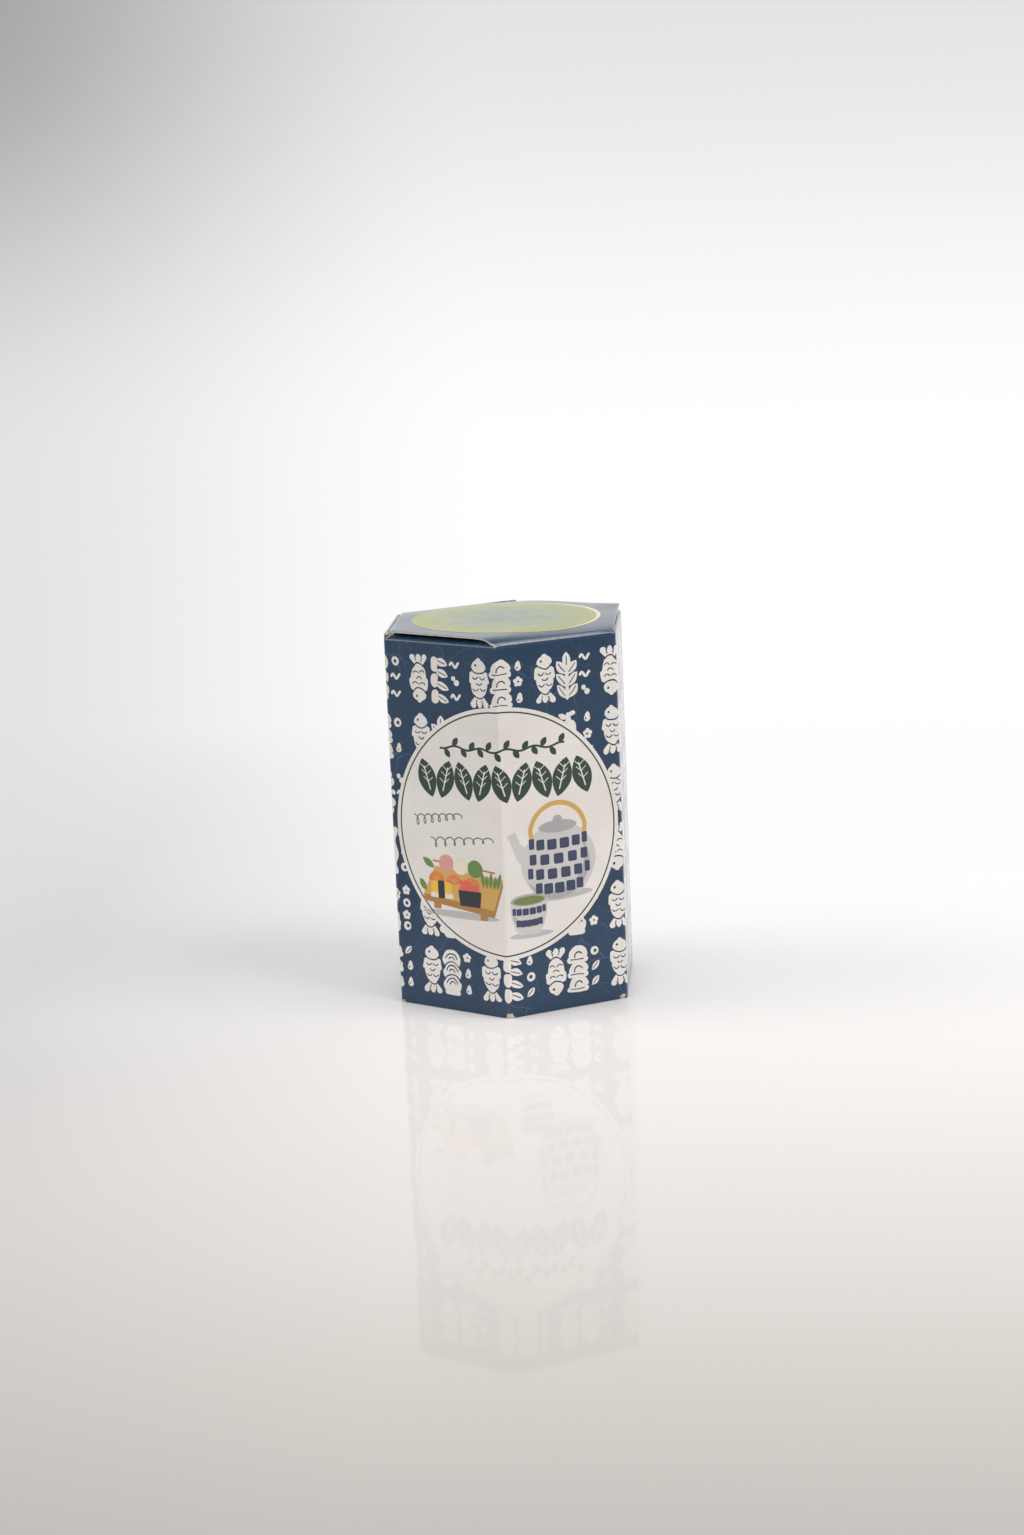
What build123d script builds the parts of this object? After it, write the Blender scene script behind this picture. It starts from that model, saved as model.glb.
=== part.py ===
from build123d import *
import math
import os

# Tea carton: a shut six-sided box of thin printed board, as one closed solid.
# The origin is the middle of the base, +Z is up, and one upright crease faces -Y.
# All sizes are in millimetres.

# Walls
side_length = 40.0           # one wall, from crease to crease
wall_height = 113.0          # base to the fold at the top of the walls
crease_radius = 0.8          # upright creases between the walls
top_fold_radius = 0.5        # where the walls turn in under the lid
base_fold_radius = 0.5       # where the walls turn in under the base

# Lid: two opposite walls carry its hinge fold and its tuck fold, and its other four edges are cut
board_thickness = 0.45
lid_gap = 1.6                # top of the walls to the underside of the lid
lid_inset = 0.6              # cut edge of the lid, in from the face of the wall
gap_depth = 8.0              # how far in the open gap reaches behind a cut edge
lid_fold_radius = 1.1        # rounded hinge and tuck folds
fold_end_clearance = 1.0     # each fold stops this far from the creases at its ends

# Base panel: tucked in like the lid, so a narrow slot shows along its four cut edges
base_slot_inset = 0.9        # slot, in from the face of the wall
base_slot_width = 0.4
base_slot_depth = 0.6

# Layout
wall_count = 6
hinge_facing = -60.0         # degrees from +X: the wall to the right of the front crease
tuck_facing = hinge_facing + 180.0
wall_turn = 360.0 / wall_count
apothem = side_length / 2 / math.tan(math.radians(wall_turn / 2))
lid_bottom = wall_height + lid_gap
lid_top = lid_bottom + board_thickness
core_inset = lid_inset + gap_depth
fold_length = side_length - 2 * fold_end_clearance


def outline(inset):
    """The six-sided plan, moved in from the wall faces by an inset."""
    corner_radius = (apothem - inset) / math.cos(math.radians(wall_turn / 2))
    return RegularPolygon(corner_radius, wall_count, rotation=hinge_facing - wall_turn / 2)


def prism(inset, bottom, top):
    return Pos(0, 0, bottom) * extrude(outline(inset), top - bottom)


def walls():
    """The closed body up to the top of the walls, with soft creases and folds."""
    body = prism(0, 0, wall_height)
    body = fillet(body.edges().filter_by(Axis.Z), crease_radius)
    body = fillet(body.edges().group_by(Axis.Z)[-1], top_fold_radius)
    return fillet(body.edges().group_by(Axis.Z)[0], base_fold_radius)


def lid_fold(facing):
    """The strip of wall that rises past the top of the walls and rolls over into the lid."""
    below = wall_height - top_fold_radius
    strip = Box(core_inset, fold_length, lid_top - below, align=(Align.MAX, Align.CENTER, Align.MIN))
    strip = Pos(apothem, 0, below) * strip
    rolled_edge = strip.edges().filter_by(Axis.Y).group_by(Axis.Z)[-1].sort_by(Axis.X)[-1]
    return Rot(0, 0, facing) * fillet(rolled_edge, lid_fold_radius)


def base_slots():
    """The slots along the cut edges of the base panel, left out at its two folded edges."""
    slot = outline(base_slot_inset) - outline(base_slot_inset + base_slot_width)
    for facing in (hinge_facing, tuck_facing):
        slot -= Rot(0, 0, facing) * Pos(apothem, 0) * Rectangle(side_length, side_length)
    return extrude(slot, base_slot_depth)


def carton():
    lid = prism(lid_inset, lid_bottom, lid_top)
    core_under_lid = prism(core_inset, wall_height - top_fold_radius, lid_bottom)
    folds = lid_fold(hinge_facing) + lid_fold(tuck_facing)
    return walls() + core_under_lid + lid + folds - base_slots()


os.makedirs("parts", exist_ok=True)
export_step(carton(), "parts/carton.step")
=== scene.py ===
import math
import random

import bpy
from mathutils import Matrix, Vector, noise
from mathutils.geometry import delaunay_2d_cdt


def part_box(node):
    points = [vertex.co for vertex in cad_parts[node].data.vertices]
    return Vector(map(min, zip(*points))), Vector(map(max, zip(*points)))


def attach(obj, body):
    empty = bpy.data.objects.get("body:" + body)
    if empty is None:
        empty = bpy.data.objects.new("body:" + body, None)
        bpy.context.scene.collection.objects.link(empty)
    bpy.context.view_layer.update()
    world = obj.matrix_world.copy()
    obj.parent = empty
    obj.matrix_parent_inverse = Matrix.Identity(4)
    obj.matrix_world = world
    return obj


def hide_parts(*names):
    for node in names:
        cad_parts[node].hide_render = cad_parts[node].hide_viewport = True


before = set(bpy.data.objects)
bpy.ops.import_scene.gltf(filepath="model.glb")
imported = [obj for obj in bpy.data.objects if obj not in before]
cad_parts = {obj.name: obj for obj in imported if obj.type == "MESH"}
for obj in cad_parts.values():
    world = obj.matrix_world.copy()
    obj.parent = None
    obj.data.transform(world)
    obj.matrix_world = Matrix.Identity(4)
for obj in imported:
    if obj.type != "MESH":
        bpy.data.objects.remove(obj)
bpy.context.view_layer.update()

# A shut six-sided tea carton of printed board. Sizes here are in millimetres and are
# scaled to the frame's metres when a mesh is made. The origin is the middle of the base,
# and the front crease faces -Y. On the walls, a place is (u, z): u runs round them from
# the front crease, to the right as seen from outside.
MM = 0.001
low, high = (Vector(corner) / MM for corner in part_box("carton"))

# Walls
SIDE = (high.x - low.x) / math.sqrt(3)
APOTHEM = (high.x - low.x) / 2
LID_RISE = 2.05               # top of the walls to the upper face of the lid
WALL_TOP = high.z - LID_RISE
BOARD = 0.36                  # thickness of the board
CREASE_RADIUS = 0.8
CREASE_HALF = CREASE_RADIUS * math.tan(math.radians(30))
FOLD_RADIUS = 0.5             # folds at the top and the foot of the walls
BOW = 0.22                    # how far the middle of a wall stands out
RIPPLE = 0.05
HINGE, RIGHT, BACK_RIGHT, TUCK, LEFT, FRONT_LEFT = range(6)   # walls, from the front crease

# Layers of print, each a thin ply that stands this much further off the board
PLY = 0.015


# ---------------------------------------------------------------- small geometry helpers
def polar(length, degrees):
    angle = math.radians(degrees)
    return Vector((length * math.cos(angle), length * math.sin(angle)))


def mix(a, b, share):
    return a + (b - a) * share


def smooth(low_edge, high_edge, value):
    share = min(1.0, max(0.0, (value - low_edge) / (high_edge - low_edge)))
    return share * share * (3 - 2 * share)


def wall_facing(wall):
    return -60.0 + 60.0 * wall


def crease_facing(crease):
    return -90.0 + 60.0 * crease


def wall_of(u):
    return math.floor(u / SIDE) % 6


def plan(u):
    """Place in plan, and outward direction, at distance u round the walls."""
    wall = math.floor(u / SIDE)
    along = u - wall * SIDE
    crease = wall if along < SIDE / 2 else wall + 1
    past_crease = u - crease * SIDE
    if abs(past_crease) < CREASE_HALF:
        outward = polar(1, crease_facing(crease) + 30 * past_crease / CREASE_HALF)
        centre = polar((APOTHEM - CREASE_RADIUS) / math.cos(math.radians(30)), crease_facing(crease))
        return centre + CREASE_RADIUS * outward, outward
    outward = polar(1, wall_facing(wall))
    return APOTHEM * outward + polar(along - SIDE / 2, wall_facing(wall) + 90), outward


def bulge(u, z):
    """How far the wall stands proud of its flat: a slight bow and a fainter ripple."""
    along = (u / SIDE) % 1.0
    across = 4 * along * (1 - along)
    upright = 1 - (2 * min(1, max(0, z / WALL_TOP)) - 1) ** 4
    wave = noise.noise(Vector((math.cos(u * math.pi / SIDE / 3) * 2, math.sin(u * math.pi / SIDE / 3) * 2, z / 30)))
    return across * upright * (BOW + RIPPLE * 3 * wave)


def wall_point(u, z, out=0.0):
    place, outward = plan(u)
    place = place + outward * (bulge(u, z) + out)
    return Vector((place.x, place.y, z))


# ---------------------------------------------------------------- meshes
def make_piece(name, verts, faces, material, slot, wear_and_sheen=None, uvs=None):
    mesh = bpy.data.meshes.new(name)
    mesh.from_pydata([Vector(v) * MM for v in verts], [], faces)
    mesh.polygons.foreach_set("use_smooth", [True] * len(mesh.polygons))
    mesh.set_sharp_from_angle(angle=math.radians(40))
    if wear_and_sheen:
        mesh.attributes.new("wear_and_sheen", "FLOAT", "POINT").data.foreach_set("value", wear_and_sheen)
    if uvs:
        layer = mesh.uv_layers.new(name="OFBake")
        for loop in mesh.loops:
            layer.data[loop.index].uv = uvs[loop.vertex_index]
    mesh.materials.append(material)
    mesh.validate()
    piece = bpy.data.objects.new(name, mesh)
    bpy.context.scene.collection.objects.link(piece)
    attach(piece, "root")
    return piece


def slab(upper, lower, faces):
    """A closed thin layer between two copies of a sheet's points. Faces turn left as seen from above."""
    count = len(upper)
    rims = set()
    for face in faces:
        rims.update(zip(face, face[1:] + face[:1]))
    walls = [(b, a, a + count, b + count) for a, b in sorted(rims) if (b, a) not in rims]
    backs = [tuple(i + count for i in reversed(face)) for face in faces]
    return upper + lower, [tuple(face) for face in faces] + backs + walls


def used_only(points, faces):
    """Drops the points that no face uses."""
    used = sorted({i for face in faces for i in face})
    place = {old: new for new, old in enumerate(used)}
    return [points[i] for i in used], [[place[i] for i in face] for face in faces]


def cut_flat(shapes, holes, lines=(), step=3.0):
    """Triangles that cover the union of the shapes less the holes, with extra points for a surface that bends.

    lines are upright folds, as x places: triangles don't cross them.
    """
    points, outlines = [], []
    for outline in list(shapes) + list(holes):
        area = sum(a[0] * b[1] - b[0] * a[1] for a, b in zip(outline, outline[1:] + outline[:1]))
        start = len(points)
        points += outline if area > 0 else outline[::-1]
        outlines.append(list(range(start, len(points))))
    left, right = min(p[0] for p in points), max(p[0] for p in points)
    foot, top = min(p[1] for p in points), max(p[1] for p in points)
    across = [left + (i + 0.5) * (right - left) / n for n in [round((right - left) / step)] for i in range(n)]
    upwards = [foot + (i + 0.5) * (top - foot) / n for n in [round((top - foot) / step)] for i in range(n)]
    points += [(x, y) for x in across for y in upwards]
    edges = []
    for x in lines:
        if left < x < right:
            rungs = [foot + (top - foot) * i / 8 for i in range(9)]
            edges += [(len(points) + i, len(points) + i + 1) for i in range(8)]
            points += [(x, y) for y in rungs]
    made = delaunay_2d_cdt([Vector(p) for p in points], edges, outlines, 0, 1e-5)
    keep = []
    for face, inside in zip(made[2], made[5]):
        if inside and max(inside) < len(shapes):
            keep.append(list(face))
    return used_only([tuple(p) for p in made[0]], keep)


def crease_lines(left, right):
    """The upright folds between two places on the walls, each as five close lines."""
    first, last = math.floor(left / SIDE), math.ceil(right / SIDE)
    return [c * SIDE + CREASE_HALF * part / 2 for c in range(first, last + 1) for part in (-2, -1, 0, 1, 2)]


def wall_print(shapes, holes, level, step=3.0):
    """Upper points, lower points, faces and sheet places of a layer of print on the walls."""
    xs = [p[0] for shape in shapes for p in shape]
    points, faces = cut_flat(shapes, holes, crease_lines(min(xs), max(xs)), step)
    upper = [wall_point(u, z, level * PLY) for u, z in points]
    lower = [wall_point(u, z, 0) for u, z in points]
    return upper, lower, faces, points


def join_layers(layers):
    """Joins several thin layers into one list of verts and faces."""
    verts, faces, places = [], [], []
    for upper, lower, flat_faces, points in layers:
        some_verts, some_faces = slab(upper, lower, flat_faces)
        faces += [tuple(i + len(verts) for i in face) for face in some_faces]
        verts += some_verts
        places += points + points
    return verts, faces, places


def wall_uvs(places):
    return [(u / SIDE / 6 + 0.5, z / (WALL_TOP + 16)) for u, z in places]


# ---------------------------------------------------------------- flat shapes
def disc(x, y, radius, squash=1.0, turn=0.0, steps=20):
    ring = []
    for i in range(steps):
        spot = Matrix.Rotation(math.radians(turn), 2) @ Vector(
            (radius * math.cos(2 * math.pi * i / steps), radius * squash * math.sin(2 * math.pi * i / steps)))
        ring.append((x + spot.x, y + spot.y))
    return ring


def arc(x, y, radius, start, end, steps=12):
    return [(x + polar(radius, mix(start, end, i / steps)).x, y + polar(radius, mix(start, end, i / steps)).y)
            for i in range(steps + 1)]


def ribbon(line, width, taper=0.0):
    """A stroke with round ends along a smooth line. taper narrows it towards both ends."""
    left, right = [], []
    for i, point in enumerate(line):
        before, after = Vector(line[max(0, i - 1)]), Vector(line[min(len(line) - 1, i + 1)])
        along = (after - before).normalized()
        half = width / 2 * (1 - taper * abs(2 * i / (len(line) - 1) - 1) ** 2)
        side = Vector((-along.y, along.x)) * half
        left.append(Vector(point) + side)
        right.append(Vector(point) - side)
    outline = []
    for end, tip, turn in ((right, len(line) - 1, -90), (left[::-1], 0, 90)):
        outline += [tuple(p) for p in end]
        radius = (left[tip] - right[tip]).length / 2
        heading = math.degrees(math.atan2(*reversed(left[tip] - right[tip])))
        centre = Vector(line[tip])
        outline += [tuple(centre + polar(radius, heading + (180 if tip else 0) + a)) for a in (30, 60, 90, 120, 150)]
    return outline


def bar(x0, y0, x1, y1, width):
    return ribbon([(x0, y0), ((x0 + x1) / 2, (y0 + y1) / 2), (x1, y1)], width)


def leaf(x0, y0, x1, y1, width, steps=8):
    """A pointed leaf from its stalk to its tip."""
    stalk, tip = Vector((x0, y0)), Vector((x1, y1))
    side = Vector((y0 - y1, x1 - x0)).normalized() * width / 2
    share = [i / steps for i in range(steps + 1)]
    one = [stalk + (tip - stalk) * s + side * math.sin(math.pi * s) ** 0.8 for s in share]
    other = [stalk + (tip - stalk) * s - side * math.sin(math.pi * s) ** 0.8 for s in share[1:-1]]
    return [tuple(p) for p in one + other[::-1]]


def vein(x0, y0, x1, y1, width):
    return bar(mix(x0, x1, 0.2), mix(y0, y1, 0.2), mix(x0, x1, 0.8), mix(y0, y1, 0.8), width)


def box_shape(left, foot, right, top, corner=0.5):
    outline = []
    for x, y, start in ((right, top, 0), (left, top, 90), (left, foot, 180), (right, foot, 270)):
        cx = x - corner if x == right else x + corner
        cy = y - corner if y == top else y + corner
        outline += arc(cx, cy, corner, start, start + 90, 4)
    return outline


# ---------------------------------------------------------------- motifs of the all-over pattern
# Each motif gives (shapes, holes) in a block BLOCK_WIDE by BLOCK_TALL: a fish in the left
# half and something that grows or swims beside it in the right half.
BLOCK_WIDE, BLOCK_TALL = 14.4, 14.8
HALF_WIDE = 7.2
CUT = 0.42                    # width of the dark lines inside a motif


def fish(head_up):
    shapes = [disc(3.5, 7.9, 2.9, 1.75), disc(3.5, 12.1, 2.5, 0.9, steps=16), disc(3.5, 13.9, 0.95, steps=12),
              bar(1.0, 10.2, 0.7, 8.0, 1.3), bar(6.0, 10.2, 6.3, 8.0, 1.3), disc(3.5, 3.4, 1.5, steps=14),
              bar(3.5, 3.6, 1.2, 1.0, 1.9), bar(3.5, 3.6, 5.8, 1.0, 1.9), bar(3.5, 3.6, 3.5, 0.9, 1.7)]
    holes = [disc(2.5, 12.7, 0.4, steps=10), ribbon(arc(3.5, 13.2, 2.9, 212, 328), CUT),
             ribbon(arc(3.5, 4.6, 1.9, 205, 335), CUT), bar(2.55, 2.2, 2.15, 0.9, 0.32), bar(4.45, 2.2, 4.85, 0.9, 0.32)]
    for i, y in enumerate((9.0, 7.3, 5.6)):
        holes += [ribbon(arc(x, y + 0.5, 0.95, 205, 335, 6), 0.36) for x in ((2.3, 4.7) if i % 2 == 0 else (3.5,))]
    if head_up:
        return shapes, holes
    return [[[x, BLOCK_TALL - y] for x, y in s] for s in shapes], [[[x, BLOCK_TALL - y] for x, y in s] for s in holes]


def scales():
    rows = (11.1, 7.2, 3.3)
    shapes = [disc(3.6, y, 3.3) for y in rows] + [bar(1.6, 0.9, 5.6, 0.9, 1.8)]
    holes = [ribbon(arc(3.6, y, radius, 15, 165), CUT) for y in rows for radius in (1.0, 2.1)]
    holes += [ribbon(arc(3.6, y, 3.2, 20, 160), CUT) for y in rows[1:]]
    return shapes, holes


def bamboo():
    shapes = [bar(2.1, foot + 1.2, 2.1, foot + 3.1, 2.5) for foot in (0.2, 5.1, 10.0)]
    holes = []
    for y in (3.2, 7.0, 10.8, 14.0):
        ends = (2.4, y - 0.4, 7.1, y - 2.2)
        shapes.append(leaf(*ends, 2.4))
        holes.append(vein(*ends, 0.3))
    return shapes, holes


def shells():
    shapes, holes = [], []
    for foot in (1.2, 8.6):
        for angle in (24, 57, 90, 123, 156):
            tip = Vector((3.6, foot)) + polar(4.3 if 40 < angle < 140 else 3.2, angle)
            shapes.append(bar(3.6, foot, tip.x, tip.y, 1.9))
        for angle in (40, 73, 107, 140):
            near, far = Vector((3.6, foot)) + polar(1.8, angle), Vector((3.6, foot)) + polar(4.4, angle)
            holes.append(bar(near.x, near.y, far.x, far.y, 0.34))
        shapes.append(bar(2.4, foot - 0.2, 4.8, foot - 0.2, 1.6))
    return shapes, holes


def blossoms():
    shapes, holes = [disc(6.4, 7.4, 0.8), disc(0.8, 7.3, 0.8)], []
    for y, turn in ((3.6, 90), (11.2, 54)):
        centre = Vector((3.6, y))
        for i in range(5):
            petal = centre + polar(1.95, turn + 72 * i)
            near, far = centre + polar(0.9, turn + 36 + 72 * i), centre + polar(2.9, turn + 36 + 72 * i)
            shapes.append(disc(petal.x, petal.y, 1.6, steps=14))
            holes.append(bar(near.x, near.y, far.x, far.y, 0.3))
        holes.append(disc(3.6, y, 0.55, steps=10))
    return shapes, holes


def weed():
    shapes = []
    for x, phase in ((1.2, 0.0), (3.6, 1.1), (6.0, 2.3)):
        line = [(x + 0.5 * math.sin(0.85 * y + phase), y) for y in [0.9 + 13.0 * i / 14 for i in range(15)]]
        shapes.append(ribbon(line, 1.85))
    shapes += [bar(1.2, 3.6, 3.4, 4.6, 1.2), bar(3.6, 8.4, 5.8, 9.3, 1.2), bar(1.4, 11.2, 3.4, 12.2, 1.2)]
    return shapes, [disc(3.6, y, 0.35, steps=8) for y in (2.2, 6.4, 10.6)]


def prawn():
    back = arc(2.2, 7.0, 3.2, 105, -100, 16)
    shapes = [ribbon(back, 3.2, 0.25), bar(1.2, 3.9, 0.9, 1.3, 1.5), bar(2.4, 3.6, 3.4, 1.2, 1.5),
              ribbon(arc(0.6, 8.4, 5.6, 88, 30, 8), 0.9), bar(1.4, 10.4, 1.2, 13.6, 1.6), bar(3.6, 12.9, 6.2, 13.6, 1.0)]
    holes = [disc(2.0, 10.9, 0.4, steps=10)]
    for angle in (70, 42, 14, -14, -42, -70):
        near, far = Vector((2.2, 7.0)) + polar(2.2, angle), Vector((2.2, 7.0)) + polar(4.9, angle)
        holes.append(bar(near.x, near.y, far.x, far.y, 0.36))
    shapes += [bar(1.9, y, 0.7, y - 0.7, 0.9) for y in (8.6, 7.2, 5.8)]
    return shapes, holes


def sprig():
    shapes, holes = [bar(3.6, 0.8, 3.6, 12.0, 1.1)], []
    for foot in (0.8, 4.4, 8.0):
        for side in (-1, 1):
            ends = (3.6, foot, 3.6 + side * 3.5, foot + 4.0)
            shapes.append(leaf(*ends, 2.7))
            holes.append(vein(*ends, 0.32))
    shapes.append(leaf(3.6, 9.6, 3.6, 14.7, 2.7))
    holes.append(vein(3.6, 9.8, 3.6, 14.2, 0.32))
    return shapes, holes


def pine():
    shapes, holes = [], []
    for foot in (0.9, 5.6, 10.3):
        shapes += [bar(1.0, foot + 0.4, 6.2, foot + 0.4, 1.9), disc(1.9, foot + 1.6, 1.5, steps=14),
                   disc(3.6, foot + 2.1, 1.8, steps=16), disc(5.3, foot + 1.6, 1.5, steps=14)]
        for x, lean in ((2.0, -0.5), (3.6, 0.0), (5.2, 0.5)):
            holes.append(bar(x, foot + 0.7, x + lean, foot + 2.3, 0.36))
    shapes.append(bar(3.6, 1.0, 3.6, 12.0, 1.4))
    return shapes, holes


def gourd():
    shapes = [disc(3.6, 4.1, 3.4, steps=24), disc(3.6, 9.6, 2.5, steps=20), disc(3.6, 7.2, 1.9, steps=14),
              bar(3.6, 11.4, 3.4, 13.6, 1.5), bar(3.4, 13.6, 5.4, 14.0, 1.2), leaf(3.2, 12.6, 0.2, 13.8, 1.7)]
    holes = [ribbon(arc(3.6, 4.1, 2.3, 120, 210), CUT), ribbon(arc(3.6, 9.6, 1.5, 110, 200), CUT),
             bar(2.2, 7.3, 5.0, 7.3, CUT), disc(4.9, 3.2, 0.4, steps=8), disc(4.2, 2.2, 0.4, steps=8)]
    return shapes, holes


def waves():
    shapes, holes = [], []
    for foot in (0.9, 5.5, 10.1):
        crest = arc(3.9, foot + 1.2, 2.4, 200, 10, 12)
        shapes += [bar(0.9, foot, 6.3, foot, 1.8), ribbon(crest, 1.7), disc(5.2, foot + 1.5, 0.9, steps=12),
                   disc(1.9, foot + 1.0, 1.1, steps=12), disc(3.6, foot + 1.2, 1.3, steps=12)]
        holes += [ribbon(arc(3.9, foot + 1.2, 1.35, 190, 30), CUT), bar(1.2, foot + 0.1, 5.6, foot + 0.1, 0.34)]
    return shapes, holes


def fan():
    hub = Vector((3.6, 6.6))
    shapes = [disc(3.6, 6.6, 0.9, steps=12), ribbon([(3.6, 6.4), (3.1, 4.4), (3.9, 2.6), (3.4, 0.9)], 1.3),
              bar(1.2, 5.2, 1.2, 0.9, 1.5), bar(5.9, 5.2, 5.9, 0.9, 1.5), disc(1.2, 3.2, 1.1, steps=10),
              disc(5.9, 2.6, 1.1, steps=10)]
    holes = []
    for angle in (38, 55, 72, 90, 108, 125, 142):
        tip, near, far = (hub + polar(r, angle + a) for r, a in ((6.6, 0), (1.6, 8.5), (7.2, 8.5)))
        shapes.append(bar(hub.x, hub.y, min(6.4, max(0.8, tip.x)), tip.y, 1.7))
        holes.append(bar(near.x, near.y, far.x, far.y, 0.28))
    holes.append(ribbon(arc(hub.x, hub.y, 3.4, 40, 140), 0.34))
    return shapes, holes


COMPANIONS = (scales, sprig, weed, shells, bamboo, blossoms, prawn, pine, waves, gourd, fan)


def small_mark(kind, x, y):
    """A mark about 3 mm across, from the columns between the blocks."""
    if kind == 0:
        return [disc(x, y, 1.4, steps=16)], [disc(x + 0.1, y, 0.6, steps=10)]
    if kind == 1:
        ends = (x - 1.3, y - 1.3, x + 1.3, y + 1.3)
        return [leaf(*ends, 1.9)], [vein(*ends, 0.28)]
    if kind == 2:
        wave = [(x - 1.5 + 3.0 * i / 10, y + 0.7 * math.sin(i * 0.75)) for i in range(11)]
        return [ribbon(wave, 0.8)], []
    if kind == 3:
        petals = [Vector((x, y)) + polar(0.9, 90 + 72 * i) for i in range(5)]
        return [disc(p.x, p.y, 0.68, steps=10) for p in petals], [disc(x, y, 0.3, steps=8)]
    if kind == 4:
        return [disc(x - 0.5, y + 0.7, 0.75, steps=10), disc(x + 0.6, y - 0.6, 0.95, steps=12)], []
    return [disc(x, y - 0.3, 1.05, steps=14), leaf(x, y - 0.6, x + 0.2, y + 1.7, 1.6)], [disc(x - 0.2, y - 0.4, 0.3, steps=8)]


# ---------------------------------------------------------------- layout of the print
PITCH_U = SIDE * 6 / 11       # eleven columns of blocks go round the carton
PITCH_Z = 17.95
ROWS = 6
FIRST_U = -31.1               # left side of the block left of the front crease
FIRST_Z = 4.7                 # foot of the lowest row
MARK_U = 16.7                 # middle of a column of small marks, from the left side of its block
MEDAL_U, MEDAL_Z = 0.3, 56.4  # middle of the round panel on the front
MEDAL_RADIUS = 38.4
RING_RADIUS = 37.0
RING_WIDTH = 0.45


def placed(outlines, x, y, seed, waver=0.2):
    """Outlines moved to their place, with edges as uneven as brush strokes."""
    moved = []
    for outline in outlines:
        spots = []
        for px, py in outline:
            shift = noise.noise_vector(Vector((px * 0.42, py * 0.42, seed * 3.7)))
            spots.append((x + px + waver * 1.6 * shift.x, y + py + waver * 1.6 * shift.y))
        moved.append(spots)
    return moved


def inside_medal(outline, margin=0.6):
    return all(math.hypot(u - MEDAL_U, z - MEDAL_Z) < MEDAL_RADIUS - margin for u, z in outline)


def block(column, row):
    """One motif block of the pattern, in wall places."""
    left_shapes, left_holes = fish((column + row) % 3 != 2)
    right_shapes, right_holes = COMPANIONS[(column * 4 + row * 3) % len(COMPANIONS)]()
    shapes = left_shapes + [[(x + HALF_WIDE, y) for x, y in s] for s in right_shapes]
    holes = left_holes + [[(x + HALF_WIDE, y) for x, y in s] for s in right_holes]
    u, z = FIRST_U + column * PITCH_U, FIRST_Z + row * PITCH_Z
    seed = column * 7 + row * 13
    return placed(shapes, u, z, seed), placed(holes, u, z, seed)


def mark_column(column, row, draw):
    """Two to four small marks beside a block."""
    u, z = FIRST_U + column * PITCH_U + MARK_U, FIRST_Z + row * PITCH_Z
    count = draw.choice((2, 3, 3, 4))
    shapes, holes = [], []
    for i in range(count):
        some_shapes, some_holes = small_mark(draw.randrange(6), 0, 0)
        y = BLOCK_TALL * (i + 0.5) / count + draw.uniform(-0.3, 0.3)
        shapes += placed(some_shapes, u + draw.uniform(-0.25, 0.25), z + y, i + row, 0.1)
        holes += placed(some_holes, u, z + y, i + row, 0.1)
    return shapes, holes


def pattern_layers():
    """Layers of all the blocks, and layers of all the small marks."""
    draw = random.Random(5)
    blocks, marks = [], []
    for column in range(11):
        for row in range(ROWS):
            for layers, (shapes, holes) in ((blocks, block(column, row)), (marks, mark_column(column, row, draw))):
                if column > 4:      # wraps round the back, so places stay within one turn
                    shapes = [[(u - 6 * SIDE, z) for u, z in s] for s in shapes]
                    holes = [[(u - 6 * SIDE, z) for u, z in s] for s in holes]
                shapes = [s for s in shapes if not inside_medal(s)]
                if shapes:
                    layers.append(wall_print(shapes, holes, 3, 5.0))
    return {"pattern_blocks": blocks, "pattern_marks": marks}


# ---------------------------------------------------------------- the picture in the round panel
# Places are from the middle of the panel. Each ink is (colour, layer, shapes, holes).
def at_medal(outlines):
    return [[(MEDAL_U + x, MEDAL_Z + y) for x, y in outline] for outline in outlines]


def leaf_row():
    """The bold row: broad tea leaves, leaning by turns."""
    shapes, holes = [], []
    for i in range(9):
        x, lean = -26.4 + 6.65 * i, (1.7 if i % 2 else -1.7)
        ends = (x - lean, 9.6, x + lean, 21.2)
        shapes.append(leaf(*ends, 6.4, 12))
        holes.append(vein(*ends, 0.42))
        for share in (0.4, 0.58, 0.74):
            mx, my = mix(ends[0], ends[2], share), mix(ends[1], ends[3], share)
            holes += [bar(mx, my, mx + side * 1.6, my + 1.4, 0.24) for side in (-1, 1)]
    return shapes, holes


def vine_row():
    """The fine row above it: a thin stem with small leaves."""
    def stem(x):
        return 25.4 + 0.5 * math.sin(x * 0.7)
    shapes = [ribbon([(-21 + 42 * i / 60, stem(-21 + 42 * i / 60)) for i in range(61)], 0.65)]
    for i in range(14):
        x = -19.5 + 3.0 * i
        side = 1 if i % 2 else -1
        shapes.append(leaf(x, stem(x), x + 1.8, stem(x) + side * 2.7, 1.9))
    return shapes, []


def swirls():
    """Two thin flourishes, each drawn as short strokes that overlap."""
    strokes = []
    for x0, x1, y0, size in ((-32.0, -15.0, 2.0, 1.7), (-26.0, -4.0, -4.4, 1.6)):
        line = []
        for i in range(97):
            s = i / 96
            turn = s * 40
            line.append((mix(x0, x1, s) + 0.95 * math.sin(turn), y0 + size * (1 - 0.55 * s) * math.cos(turn) + 2.6 * s))
        strokes += [ribbon(line[i:i + 4], 0.36) for i in range(0, 94, 3)]
    return strokes


def ring():
    outer = arc(0, 0, RING_RADIUS + RING_WIDTH / 2, 0, 360, 120)[:-1]
    inner = arc(0, 0, RING_RADIUS - RING_WIDTH / 2, 0, 360, 120)[:-1]
    return [outer], [inner]


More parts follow.
